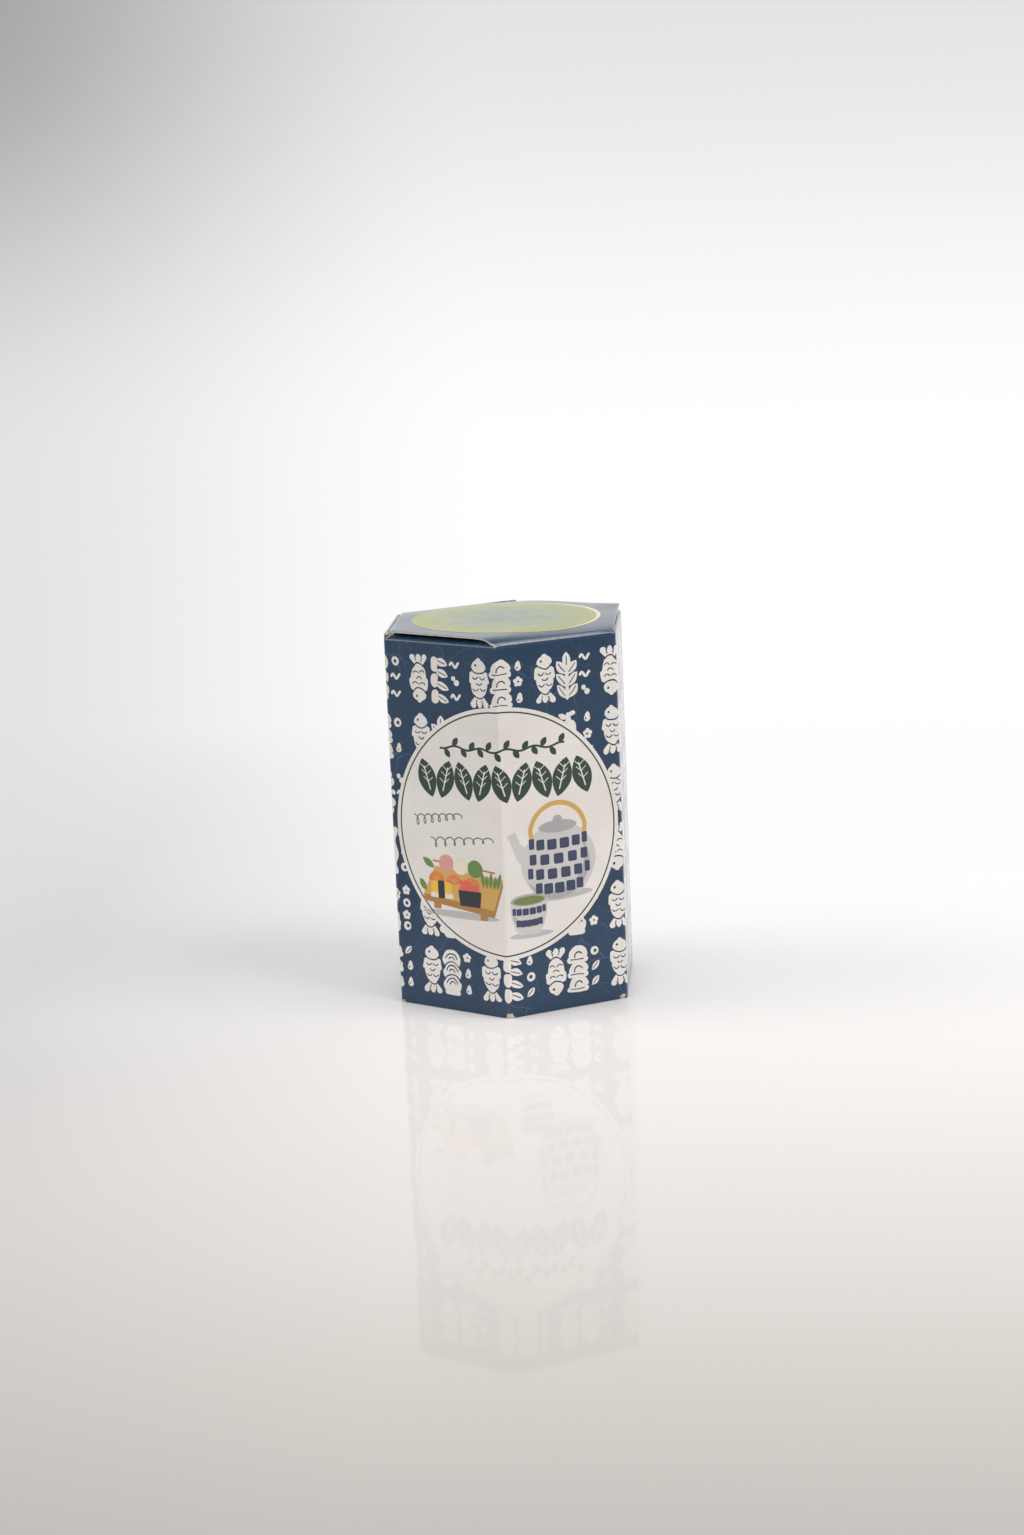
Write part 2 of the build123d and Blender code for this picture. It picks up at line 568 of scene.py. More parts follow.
def checks(x, y, half_wide, rows, pitch, size, squash=0.16):
    """Rows of small squares round a bowl-shaped body, closer together towards its sides."""
    squares = []
    for row, wide in enumerate(rows):
        for i in range(-3, 4):
            turn = i * 23 + (0 if row % 2 else 11.5)
            if abs(turn) > 62:
                continue
            cx = x + half_wide * wide * math.sin(math.radians(turn))
            cy = y - row * pitch - squash * half_wide * math.cos(math.radians(turn)) + squash * half_wide
            half = size / 2 * math.cos(math.radians(turn))
            squares.append(box_shape(cx - half, cy - size / 2, cx + half, cy + size / 2, 0.35 * half))
    return squares


def body_shape(x, top, foot, widths):
    """A pot's outline from its half widths, given from top to foot."""
    n = len(widths) - 1
    right = [(x + w, mix(top, foot, i / n)) for i, w in enumerate(widths)]
    left = [(x - w, mix(top, foot, i / n)) for i, w in enumerate(widths)]
    return right[::-1] + left


def pot_widths(wide, shoulder, foot, steps=16):
    widths = []
    for i in range(steps + 1):
        s = i / steps
        widths.append(mix(shoulder, foot, s) + (wide - mix(shoulder, foot, s)) * math.sin(math.pi * s) ** 0.75)
    return widths


POT_X, POT_Y, POT_WIDE = 18.0, 0.4, 12.4
CUP_X, CUP_Y = 7.6, -20.6


def picture_inks():
    pot = body_shape(POT_X, POT_Y, POT_Y - 20.5, pot_widths(POT_WIDE, 5.6, 7.0))
    spout = [(8.2, -12.5), (4.2, -8.0), (2.6, -3.2), (1.4, -0.6), (4.0, 0.6), (5.6, -3.4), (9.0, -6.0)]
    pot_lid = disc(POT_X, POT_Y + 0.2, 6.3, 0.3, steps=32)
    knob = disc(POT_X, POT_Y + 2.4, 1.5, 0.8)
    handle = ribbon([(POT_X - 8.6, -3.2)] + arc(POT_X, -1.4, 9.2, 170, 10, 20) + [(POT_X + 8.6, -3.2)], 1.4)
    cup = body_shape(CUP_X, CUP_Y, CUP_Y - 10.6, [6.0, 6.0, 5.95, 5.8, 5.5, 5.0, 4.3, 3.3])
    cup_rim = disc(CUP_X, CUP_Y, 6.0, 0.3, steps=32)
    tray = [(-29.6, -20.6), (-4.0, -23.4), (-0.6, -13.6), (-25.0, -11.6)]
    tray_edge = [(-29.6, -20.6), (-29.6, -22.6), (-4.0, -25.6), (-0.6, -15.8), (-0.6, -13.6), (-4.0, -23.4)]
    feet = [box_shape(-26.0, -24.8, -23.4, -22.4, 0.4), box_shape(-9.0, -26.8, -6.4, -24.6, 0.4)]
    dango = [(-20.8, -10.4), (-15.6, -10.8), (-10.4, -11.2)]
    stick = [bar(-25.6, -10.0, -3.4, -11.7, 0.5)]
    slices = [(-24.6, -15.6), (-18.2, -16.0), (-11.8, -16.4)]
    orange = [arc(x, y - 0.6, 2.9, 0, 180, 16) for x, y in slices]
    wedges = [bar(x, y - 0.2, x + polar(2.2, a).x, y - 0.2 + polar(2.2, a).y, 0.26)
              for x, y in slices for a in (30, 60, 90, 120, 150)]
    block_sweet = [box_shape(-27.0, -21.4, -18.8, -16.8, 1.0)]
    berries = [disc(-15.6 + 1.45 * i + 0.72 * (j % 2), -17.9 + 1.05 * j, 0.85, steps=10)
               for j in range(3) for i in range(5 - j)]
    mould = [body_shape(-12.6, -18.2, -23.0, [4.1, 4.0, 3.8, 3.6])]
    grass = [leaf(-7.4 + 1.2 * i, -16.8, -8.0 + 1.7 * i, -11.6 - 1.1 * (i % 2), 1.3) for i in range(5)]
    grass += [leaf(-25.4, -12.2, -29.4, -9.4, 2.2), leaf(-28.6, -19.6, -30.8, -16.0, 2.0)]
    title = leaf_row()
    vine = vine_row()
    outer, inner = ring()
    pot_shade = [ribbon(arc(POT_X - 1.2, POT_Y - 10.2, 10.6, 214, 392, 24), 2.6, 0.9),
                 disc(POT_X - 1.0, POT_Y - 21.0, 12.0, 0.12, steps=28)]
    cup_shade = [disc(CUP_X + 0.6, CUP_Y - 10.8, 7.2, 0.14, steps=24)]
    return {
        "ring_green": (DEEP_GREEN, 6, outer, inner),
        "deep_green": (DEEP_GREEN, 6, title[0] + vine[0], title[1]),
        "soft_grey": (SOFT_GREY, 6, pot_shade[1:] + cup_shade + [disc(-16.2, -26.0, 14.0, 0.08, steps=32)], []),
        "pale_clay": (PALE_CLAY, 7, [pot, spout, cup], []),
        "clay_shade": (CLAY_SHADE, 8, pot_shade[:1] + [pot_lid, knob]
                       + [ribbon(arc(CUP_X, CUP_Y - 3.6, 5.0, 190, 235, 8), 1.1, 0.6), cup_rim], []),
        "tan": (TAN, 8, [handle, tray], []),
        "tan_edge": (TAN_EDGE, 9, [tray_edge] + feet + stick, []),
        "ink_blue": (INK_BLUE, 9, checks(POT_X, POT_Y - 5.2, POT_WIDE, (0.84, 0.95, 0.9, 0.76), 4.5, 3.2)
                     + checks(CUP_X, CUP_Y - 3.6, 6.0, (0.97, 0.84), 3.6, 2.1), []),
        "tea_green": (TEA_GREEN, 9, [disc(CUP_X, CUP_Y - 0.2, 5.1, 0.26, steps=28)], []),
        "leaf_green": (LEAF_GREEN, 9, grass + [disc(*dango[2], 2.7)], []),
        "warm_grey": (WARM_GREY, 6, swirls(), []),
        "rose": (ROSE, 10, [disc(*dango[0], 2.7)], []),
        "cream": (CREAM, 10, [disc(*dango[1], 2.7)] + [box_shape(-27.0, -21.4, -18.8, -19.8, 0.5)], []),
        "orange": (ORANGE, 10, orange, wedges + block_sweet),
        "yellow": (YELLOW, 11, [box_shape(-26.8, -19.9, -19.0, -16.2, 1.3)], []),
        "coral": (CORAL, 11, berries, []),
        "dark": (DARK, 12, mould + [box_shape(-24.2, -21.5, -21.8, -16.0, 0.4)], []),
    }


# ---------------------------------------------------------------- the board of the walls
FLAP_REACH = 9.0              # how far in the dust flaps show under the lid
LEVEL_FLAP = ((0.85, 0.05), (1.3, 0.1), (4.0, 0.1), (FLAP_REACH, 0.1))    # (inset, height over the fold)
FLAPS = {FRONT_LEFT: ((0.85, 0.4), (1.3, 0.76), (4.0, 0.88), (FLAP_REACH, 0.8)),    # springs up
         LEFT: ((0.95, 0.0), (1.2, -0.9), (4.0, -1.0), (FLAP_REACH, -1.0))}         # a ridge, then down
RISES = {HINGE: 0.0, RIGHT: 0.35, BACK_RIGHT: 0.25, TUCK: 0.35, LEFT: 1.55, FRONT_LEFT: 0.0}
SCUFFS = ((0.3, 0.2, 1.5), (38.4, 0.4, 1.0), (-39.3, 0.3, 0.7), (0.0, WALL_TOP + 0.2, 0.5),
          (-80.4, 0.4, 1.1), (119.4, 0.2, 1.2), (80.3, WALL_TOP, 0.8), (-79.6, WALL_TOP, 0.9))


def wall_columns():
    near = [0, CREASE_HALF / 2, CREASE_HALF, 0.8, 1.25, 1.8, 2.6]
    middle = [4.0 + (SIDE - 8.0) * i / 16 for i in range(17)]
    far = [SIDE - x for x in reversed(near[1:])]
    return [crease * SIDE + x for crease in range(-3, 3) for x in near + middle + far]


def top_rise(u):
    """How far the top fold stands above the walls' usual height."""
    wall = math.floor(u / SIDE)
    along = u - wall * SIDE
    here, before, after = RISES[wall % 6], RISES[(wall - 1) % 6], RISES[(wall + 1) % 6]
    start, end = min(here, before), min(here, after)
    ramp = 1.6 if wall % 6 == LEFT else 5
    return start + (here - start) * smooth(0, 5, along) - (here - end) * smooth(SIDE - ramp, SIDE - 0.4, along)


def ring_point(u, inset, z):
    """A point of the walls' section, moved in towards the middle."""
    on_face = wall_point(u, z)
    return Vector((on_face.x * (1 - inset / APOTHEM), on_face.y * (1 - inset / APOTHEM), z))


def wall_section(u):
    """The board's section at u, from under the base, up the outside and in under the lid."""
    top = WALL_TOP + top_rise(u)
    points = [ring_point(u, 1.0, 0.5), ring_point(u, 0.9, 0.0)]
    for angle in (0, 22.5, 45, 67.5, 90):
        turn = polar(FOLD_RADIUS, angle)
        points.append(ring_point(u, FOLD_RADIUS - turn.y, FOLD_RADIUS - turn.x))
    points += [ring_point(u, 0, z) for z in (0.8, 1.15, 1.6, 2.3, 3.4)]
    rows = 40
    points += [ring_point(u, 0, mix(5.0, WALL_TOP - 1.6, i / rows)) for i in range(rows + 1)]
    points.append(ring_point(u, 0, WALL_TOP - 0.9))
    if wall_of(u) == TUCK:
        points += [ring_point(u, x, top - y) for x, y in
                   ((0, 0.5), (0, 0.05), (0.04, 0), (BOARD - 0.04, 0), (BOARD, 0.05), (BOARD, 3.0), (1.2, 3.1),
                    (1.25, 0.4), (FLAP_REACH, 0.4))]
    else:
        for angle in (0, 22.5, 45, 67.5, 90):
            turn = polar(FOLD_RADIUS, angle)
            points.append(ring_point(u, FOLD_RADIUS - turn.x, top - FOLD_RADIUS + turn.y))
        points += [ring_point(u, x, top + y) for x, y in FLAPS.get(wall_of(u), LEVEL_FLAP)]
    points.append(ring_point(u, FLAP_REACH + 0.2, WALL_TOP + 1.0))
    return points


PRINT_FIRST_ROW = 1           # the print starts on the underside of the base fold
TOP_FOLD_ROWS = 5


def scuffed(u, z):
    for spot_u, spot_z, radius in SCUFFS:
        ragged = radius * (1 + 0.45 * noise.noise(Vector((u * 2.1, z * 2.1, spot_u))))
        if math.hypot(u - spot_u, z - spot_z) < ragged:
            return True
    return False


def wall_board():
    columns = wall_columns()
    sections = [wall_section(u) for u in columns]
    for u, section in zip(columns, sections):      # crushed corners give a little
        for i, point in enumerate(section):
            for spot_u, spot_z, radius in SCUFFS:
                near = 1 - min(1, math.hypot(u - spot_u, point.z - spot_z) / radius / 1.2)
                section[i] = section[i] - Vector((point.x, point.y, 0)) * (0.3 * near / SIDE)
    rows = len(sections[0])
    verts = [point for section in sections for point in section]
    faces, marks = [], []
    for c in range(len(columns)):
        for r in range(rows - 1):
            ahead = ((c + 1) % len(columns)) * rows
            faces.append([c * rows + r, ahead + r, ahead + r + 1, c * rows + r + 1])
            marks.append((c, r))
    foot, top = len(verts), len(verts) + 1
    verts += [Vector((0, 0, 0.5)), Vector((0, 0, WALL_TOP + 1.0))]
    caps = []
    for c in range(len(columns)):
        ahead = (c + 1) % len(columns)
        caps.append([foot, ahead * rows, c * rows])
        caps.append([top, c * rows + rows - 1, ahead * rows + rows - 1])
    return columns, rows, verts, faces, marks, caps


def vertex_normals(verts, faces):
    normals = [Vector((0, 0, 0)) for _ in verts]
    for face in faces:
        a, b, c = (verts[face[i]] for i in (0, 1, 2))
        d = verts[face[-1]]
        normal = (c - a).cross(d - b) if len(face) == 4 else (b - a).cross(c - a)
        for i in face:
            normals[i] += normal
    return [n.normalized() if n.length else n for n in normals]


def build_walls():
    columns, rows, verts, faces, marks, caps = wall_board()
    board = make_piece("carton_board", verts, faces + caps, BARE_BOARD, "bare_board")
    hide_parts("carton")
    normals = vertex_normals(verts, faces + caps)
    fold_start = rows - 1 - 4 - TOP_FOLD_ROWS
    printed = []
    for face, (c, r) in zip(faces, marks):
        u = (columns[c] + columns[(c + 1) % len(columns)]) / 2
        middle = sum((verts[i] for i in face), Vector()) / 4
        on_tuck = TUCK in (wall_of(columns[c]), wall_of(columns[(c + 1) % len(columns)]))
        if r < PRINT_FIRST_ROW or r >= rows - 2 or scuffed(columns[c] + 0.1, middle.z):
            continue
        if on_tuck and r >= fold_start + 1:
            continue
        printed.append(face)
    points, flat_faces = used_only(list(range(len(verts))), printed)
    upper = [verts[i] + normals[i] * 2 * PLY for i in points]
    lower = [verts[i] - normals[i] * 0.01 for i in points]
    for point in upper + lower:      # nothing reaches below the surface that the carton stands on
        point.z = max(point.z, 0)
    ink_verts, ink_faces = slab(upper, lower, flat_faces)
    wear_and_sheen, uvs = [], []
    run = [0.0]
    section = [verts[i] for i in range(rows)]
    for a, b in zip(section, section[1:]):
        run.append(run[-1] + (b - a).length)
    for i in points + points:
        if i >= len(columns) * rows:
            wear_and_sheen.append(0.0)
            uvs.append((0, 0))
            continue
        u, row = columns[i // rows], i % rows
        from_crease = abs((u + SIDE / 2) % SIDE - SIDE / 2)
        from_fold = min(abs(verts[i].z - WALL_TOP - top_rise(u)), abs(verts[i].z))
        # Pale along the creases from ink wear; along the folds at the top and foot, ink wear together with a painted
        # highlight where the rounded fold catches the light
        wear_and_sheen.append(max(0.12 * (1 - smooth(0.2, 0.9, from_crease)), 0.4 * (1 - smooth(0.1, 0.35, from_fold))))
        uvs.append((u / SIDE / 6 + 0.5, run[row] / run[-1]))
    make_piece("carton_ink", ink_verts, ink_faces, NAVY_PRINT, "printed_board", wear_and_sheen, uvs)


# ---------------------------------------------------------------- the lid
# Places on the lid are (p, q): p along the hinge from its middle, towards the right corner,
# and q inwards from the hinge wall's face. The tuck wall's face is at q = ACROSS.
ACROSS = 2 * APOTHEM
HINGE_OUT = polar(1, wall_facing(HINGE))
HINGE_ALONG = polar(1, wall_facing(HINGE) + 90)
LID_START = 1.3               # where the fold's scored groove ends and the flat lid begins
TUCK_FOLD = 0.7
TUCK_INSET = 0.62             # the tuck flap goes down just inside the wall's raw edge
LID_END = ACROSS - TUCK_INSET - TUCK_FOLD
INSETS = {FRONT_LEFT: 0.15, LEFT: 1.7, RIGHT: 0.5, BACK_RIGHT: 0.5}
TAN30, COS30 = math.tan(math.radians(30)), math.cos(math.radians(30))


def lid_place(p, q):
    """Plan place of a place on the lid."""
    return HINGE_OUT * (APOTHEM - q) + HINGE_ALONG * p


def lid_address(x, y):
    """The (p, q) of a plan place."""
    spot = Vector((x, y))
    return spot.dot(HINGE_ALONG), APOTHEM - spot.dot(HINGE_OUT)


def near(p, q, corner, reach):
    return math.exp(-math.hypot(p - corner[0], q - corner[1]) / reach)


FRONT_TIP, RIGHT_TIP = (-SIDE / 2, 0), (SIDE / 2, 0)
FAR_RIGHT_TIP, LEFT_TIP = (SIDE, APOTHEM), (-SIDE, APOTHEM)


def lid_rise(p, q):
    """Height of the lid's upper face above the top of the walls."""
    to_right = smooth(-SIDE / 2, SIDE / 2, p)
    hinge_level = mix(1.15, 0.95, to_right)
    level = mix(2.3, 2.0, to_right)
    rise = level - (level - hinge_level) * math.exp(-max(0, q - LID_START) / mix(1.5, 7.0, to_right))
    rise -= (level - 1.35) * math.exp(-max(0, LID_END - q) / 4.0)
    rise -= 1.1 * near(p, q, FRONT_TIP, 0.9)
    rise -= 0.5 * near(p, q, RIGHT_TIP, 1.2)
    rise += 0.45 * near(p, q, FAR_RIGHT_TIP, 4.0)
    from_back_right = (ACROSS - q) * 0.5 + (SIDE - p - (q - APOTHEM) * TAN30) * COS30
    from_tip = math.hypot(p - FAR_RIGHT_TIP[0], q - FAR_RIGHT_TIP[1])
    rise -= 0.7 * math.exp(-max(0, from_back_right) / 7) * smooth(7, 9.5, from_tip) * smooth(APOTHEM, APOTHEM + 4, q)
    rise += 0.07 * noise.noise(Vector((p / 13, q / 13, 4.2)))
    return rise


def lid_point(x, y, out=0.0):
    p, q = lid_address(x, y)
    return Vector((x, y, WALL_TOP + lid_rise(p, q) + out))


def half_width(q, side):
    """Half the lid's width at q, to the left (-1) or right (1)."""
    near_edge, far_edge = (FRONT_LEFT, LEFT) if side < 0 else (RIGHT, BACK_RIGHT)
    from_hinge = SIDE / 2 + q * TAN30 - INSETS[near_edge] / COS30
    from_tuck = SIDE / 2 + (ACROSS - q) * TAN30 - INSETS[far_edge] / COS30
    ragged = 0.1 * noise.noise(Vector((q * 0.35, side * 5.0, 1.0))) + 0.06 * noise.noise(Vector((q * 1.7, side * 5.0, 7.0)))
    return min(from_hinge, from_tuck) + ragged


def lid_rows():
    """(q, height or None for the lid's own, half-width trim, kind) of each row across the lid."""
    rows = [(-0.045, -0.32, 0.7, "band"), (-0.045, -0.02, 0.5, "band"), (0.1, 0.28, 0.35, "band"),
            (0.38, 0.62, 0.25, "band"), (0.68, 0.9, 0.15, "band"), (0.8, 0.88, 0.1, "groove"),
            (1.0, 0.93, 0.05, "groove")]
    rows = [(q, dz, trim, kind) for q, dz, trim, kind in rows]
    flat = [LID_START, 1.6, 2.0, 2.5, 3.2, 4.0]
    flat += [5.5 + (APOTHEM - 0.85 - 5.5) * i / 15 for i in range(16)]
    flat += [APOTHEM]
    flat += [APOTHEM + 1.6 + (LID_END - 4.5 - APOTHEM - 1.6) * i / 15 for i in range(16)]
    flat += [LID_END - 2.5, LID_END - 1.2, LID_END]
    rows += [(q, None, 0.0, "flat") for q in flat]
    for angle in (22.5, 45, 67.5, 90):
        turn = polar(TUCK_FOLD, 90 - angle)
        rows.append((LID_END + turn.x, 1.35 - TUCK_FOLD + turn.y, 0.0, "fold"))
    rows.append((ACROSS - TUCK_INSET, -2.5, 2.5, "tuck"))
    return rows


def lid_board():
    stations = 44
    verts, faces, kinds, spots = [], [], [], []
    rows = lid_rows()
    for q, height, trim, kind in rows:
        reach_left = half_width(min(max(q, 0), ACROSS - 1), -1) - trim
        reach_right = half_width(min(max(q, 0), ACROSS - 1), 1) - trim
        for i in range(stations + 1):
            s = 2 * i / stations - 1
            s = math.copysign(abs(s) ** 0.8, s)
            p = s * (reach_right if s > 0 else reach_left)
            place = lid_place(p, q)
            if height is None:
                z = lid_rise(p, q)
            elif kind in ("band", "groove"):
                share = mix(1.0, 0.82, smooth(-SIDE / 2, SIDE / 2, p))
                z = height * share if height > 0 else height
                z -= 0.9 * share * near(p, max(q, 0), FRONT_TIP, 0.8) * (height > 0)
            else:
                z = height
            verts.append(Vector((place.x, place.y, WALL_TOP + z)))
            spots.append((p, q))
    for r in range(len(rows) - 1):
        for i in range(stations):
            a = r * (stations + 1) + i
            faces.append([a, a + 1, a + stations + 2, a + stations + 1])
            kinds.append(rows[r][3])
    return verts, faces, kinds, spots


def build_lid():
    verts, faces, kinds, spots = lid_board()
    normals = vertex_normals(verts, faces)
    under = [v - n * BOARD for v, n in zip(verts, normals)]
    make_piece("lid_board", *slab(verts, under, faces), BARE_BOARD, "bare_board")
    printed = []
    for face, kind in zip(faces, kinds):
        p = sum(spots[i][0] for i in face) / 4
        q = sum(spots[i][1] for i in face) / 4
        torn = 1.0 + 0.5 * noise.noise(Vector((p * 3, q * 3, 0)))
        if math.hypot(p - FRONT_TIP[0], q - FRONT_TIP[1]) > torn and kind != "tuck":
            printed.append(face)
    points, flat_faces = used_only(list(range(len(verts))), printed)
    upper = [verts[i] + normals[i] * 2 * PLY for i in points]
    lower = [verts[i] - normals[i] * 0.01 for i in points]
    for row, i in enumerate(points):      # the print stops just short of the raw edges, and not evenly
        p, q = spots[i]
        if LID_START < q < LID_END and abs(abs(p) - half_width(q, math.copysign(1, p))) < 0.02:
            pull = HINGE_ALONG * -math.copysign(0.05 + 0.12 * abs(noise.noise(Vector((q * 1.3, p, 9.0)))), p)
            upper[row] = upper[row] + Vector((pull.x, pull.y, 0))
    wear_and_sheen = []
    for i in points:
        p, q = spots[i]
        edge = half_width(min(max(q, 0), ACROSS - 1), math.copysign(1, p)) - abs(p)
        # Painted highlight with ink wear along the hinge's rounded band, where the fold catches light from above; the
        # raw edges are pale from wear
        hinge_highlight_and_wear = smooth(-0.04, 0.05, q) * (1 - smooth(0.68, 0.78, q)) * (1 - 0.8 * smooth(12, SIDE / 2, p))
        wear_and_sheen.append(max(hinge_highlight_and_wear, 0.7 * (1 - smooth(0.1, 0.6, edge))))
    uvs = [(p / SIDE / 2 + 0.5, q / (ACROSS + 2) + 0.01) for p, q in (spots[i] for i in points)]
    make_piece("lid_ink", *slab(upper, lower, flat_faces), NAVY_PRINT, "printed_board", wear_and_sheen + wear_and_sheen, uvs + uvs)


DISC_RADIUS = 28.8
DISC_MIDDLE = Vector((0.6, 0.0))   # the tea is printed a little off the lid's middle


def lid_layer(name, shapes, holes, level, material, step=2.2):
    points, faces = cut_flat(shapes, holes, (), step)
    upper = [lid_point(x, y, level * PLY) for x, y in points]
    lower = [lid_point(x, y, 0) for x, y in points]
    uvs = [(x / 80 + 0.5, y / 80 + 0.5) for x, y in points]
    make_piece(name, *slab(upper, lower, faces), material, "colour_print", None, uvs + uvs)


def build_lid_print():
    x, y = DISC_MIDDLE
    round_edge = arc(x, y, DISC_RADIUS, 0, 360, 120)[:-1]
    lid_layer("lid_tea", [round_edge], [], 5, TEA_SURFACE)
    crescent = arc(x, y, DISC_RADIUS - 0.15, -58, 98, 48)
    inner = DISC_MIDDLE - polar(1.2, 20)
    crescent += [tuple(inner + polar(DISC_RADIUS - 0.1, mix(96, -56, i / 48))) for i in range(49)]
    lid_layer("lid_rim", [crescent], [], 6, RIM_CREAM)


def build_flap_ends():
    """The raw ends of two dust flaps, which meet under the lid at its left corner."""
    for name, u, lean, reach in (("flap_end_a", -39.2, 0.0, 2.2), ("flap_end_b", -40.9, 0.6, 2.0)):
        place, outward = plan(u)
        along = Vector((-outward.y, outward.x)) * (1 if u > -SIDE else -1)
        inward = -outward
        corners = [place + inward * 0.25, place + inward * reach, place + inward * reach + along * 1.8,
                   place + inward * 0.35 + along * 1.4]
        upper = [Vector((c.x, c.y, WALL_TOP + 0.45 + lean + 0.25 * i)) for i, c in enumerate(corners)]
        lower = [v - Vector((0, 0, BOARD)) for v in upper]
        order = [0, 1, 2, 3] if u < -SIDE else [3, 2, 1, 0]
        make_piece(name, *slab(upper, lower, [order]), BARE_BOARD, "bare_board")


def build_base_panel():
    """The tucked-in panel under the carton, with its print side down."""
    corner = (APOTHEM - 1.3) / COS30
    rim = [polar(corner, crease_facing(i)) for i in range(6)]
    outline = [tuple(mix(rim[i], rim[(i + 1) % 6], s / 8)) for i in range(6) for s in range(8)]
    points, faces = cut_flat([outline], [], (), 6.0)
    def height(x, y):
        return 0.06 + 0.1 * noise.noise(Vector((x / 20, y / 20, 3.0))) ** 2
    under = [Vector((x, y, height(x, y))) for x, y in points]
    over = [v + Vector((0, 0, BOARD)) for v in under]
    make_piece("base_panel", *slab(over, under, faces), NAVY_PRINT, "printed_board", [0.0] * (2 * len(points)))


# ---------------------------------------------------------------- materials
def linear(red, green, blue):
    """A colour written 0 to 255, as Blender's linear colour."""
    parts = [c / 255 for c in (red, green, blue)]
    return tuple(c / 12.92 if c <= 0.04045 else ((c + 0.055) / 1.055) ** 2.4 for c in parts) + (1.0,)


class Nodes:
    """Short ways to add nodes to a material."""

    def __init__(self, name):
        self.material = bpy.data.materials.new(name)
        self.material.use_nodes = True
        self.tree = self.material.node_tree
        self.shader = self.tree.nodes["Principled BSDF"]
        self.place = self.tree.nodes.new("ShaderNodeTexCoord").outputs["Object"]

    def add(self, kind, links=(), **settings):
        node = self.tree.nodes.new(kind)
        for key, value in settings.items():
            setattr(node, key, value)
        for socket, value in dict(links).items():
            if isinstance(value, bpy.types.NodeSocket):
                self.tree.links.new(value, node.inputs[socket])
            else:
                node.inputs[socket].default_value = value
        return node

    def speckle(self, scale, detail=3.0, rough=0.55):
        made = self.add("ShaderNodeTexNoise", {"Vector": self.place, "Scale": scale, "Detail": detail, "Roughness": rough})
        return made.outputs["Fac"]

    def span(self, value, low_in, high_in, low_out=0.0, high_out=1.0):
        made = self.add("ShaderNodeMapRange", {"Value": value, "From Min": low_in, "From Max": high_in,
                                               "To Min": low_out, "To Max": high_out})
        return made.outputs["Result"]

    def blend(self, share, one, other, how="MIX"):
        made = self.add("ShaderNodeMix", data_type="RGBA", blend_type=how)
        for index, value in ((0, share), (6, one), (7, other)):
            if isinstance(value, bpy.types.NodeSocket):
                self.tree.links.new(value, made.inputs[index])
            else:
                made.inputs[index].default_value = value
        return made.outputs[2]

    def times(self, one, other):
        return self.add("ShaderNodeMath", {0: one, 1: other}, operation="MULTIPLY").outputs[0]

    def finish(self, colour, roughness, bump, bump_strength, coat=0.0):
        self.tree.links.new(colour, self.shader.inputs["Base Color"])
        self.tree.links.new(roughness, self.shader.inputs["Roughness"])
        made = self.add("ShaderNodeBump", {"Height": bump, "Strength": bump_strength, "Distance": 0.00004})
        self.tree.links.new(made.outputs["Normal"], self.shader.inputs["Normal"])
        self.shader.inputs["Coat Weight"].default_value = coat
        self.shader.inputs["Coat Roughness"].default_value = 0.1
        self.shader.inputs["Coat IOR"].default_value = 1.6
        self.shader.inputs["Specular IOR Level"].default_value = 0.05
        return self.material


def ink(name, colour, coat=0.8):
    """A flat field of ink on coated board: faint mottle, fine speckle and a soft varnish."""
    n = Nodes(name)
    tone = n.span(n.speckle(60, 2), 0.3, 0.7, 0.95, 1.04)
    grain = n.span(n.speckle(2600, 2), 0.35, 0.65, 0.96, 1.03)
    shade = n.times(tone, grain)
    value = n.add("ShaderNodeCombineColor", {"Red": shade, "Green": shade, "Blue": shade}).outputs[0]
    tinted = n.blend(1.0, linear(*colour), value, "MULTIPLY")
    return n.finish(tinted, n.span(n.speckle(180, 3), 0.3, 0.7, 0.4, 0.55), n.speckle(1400, 3), 0.25, coat)


def navy_print():
    """Navy ink with the pale hair lines of a dyed cloth pattern, worn through along the folds, where a painted
    highlight of the rounded folds and the lid's hinge band is mixed in too.
    """
    n = Nodes("navy_print")
    wander = n.add("ShaderNodeTexNoise", {"Vector": n.place, "Scale": 55.0, "Detail": 3.0})
    warp = n.add("ShaderNodeVectorMath", {0: wander.outputs["Color"], 1: (0.009, 0.009, 0.009)}, operation="MULTIPLY")
    bent = n.add("ShaderNodeVectorMath", {0: n.place, 1: warp.outputs[0]}, operation="ADD").outputs[0]
    deep = linear(4, 48, 80)
    navy = n.blend(n.span(n.speckle(35, 3), 0.35, 0.65), deep, linear(10, 54, 86))
    for scale, width, strength in ((95.0, 0.013, 0.30), (210.0, 0.016, 0.16)):
        cells = n.add("ShaderNodeTexVoronoi", {"Vector": bent, "Scale": scale}, feature="DISTANCE_TO_EDGE")
        line = n.span(cells.outputs["Distance"], 0.0, width, 1.0, 0.0)
        patchy = n.span(n.speckle(scale * 0.55, 2), 0.46, 0.62, 0.0, strength)
        navy = n.blend(n.times(line, patchy), navy, linear(118, 150, 184))
    grain = n.span(n.speckle(3000, 2), 0.62, 0.8, 0.0, 0.14)
    navy = n.blend(grain, navy, linear(130, 150, 176))
    # The attribute read here mixes in pale grey: ink wear at the creases and raw edges, and a painted highlight on the
    # folds and the lid's hinge band
    wear_and_sheen_share = n.add("ShaderNodeAttribute", attribute_name="wear_and_sheen").outputs["Fac"]
    flecks = n.span(n.speckle(900, 4, 0.7), 0.38, 0.62, 0.6, 1.0)
    navy = n.blend(n.times(wear_and_sheen_share, n.times(flecks, 0.85)), navy, linear(146, 146, 160))
    rough = n.span(n.speckle(140, 3), 0.3, 0.7, 0.36, 0.5)
    return n.finish(navy, rough, n.speckle(1500, 3), 0.2, 0.85)


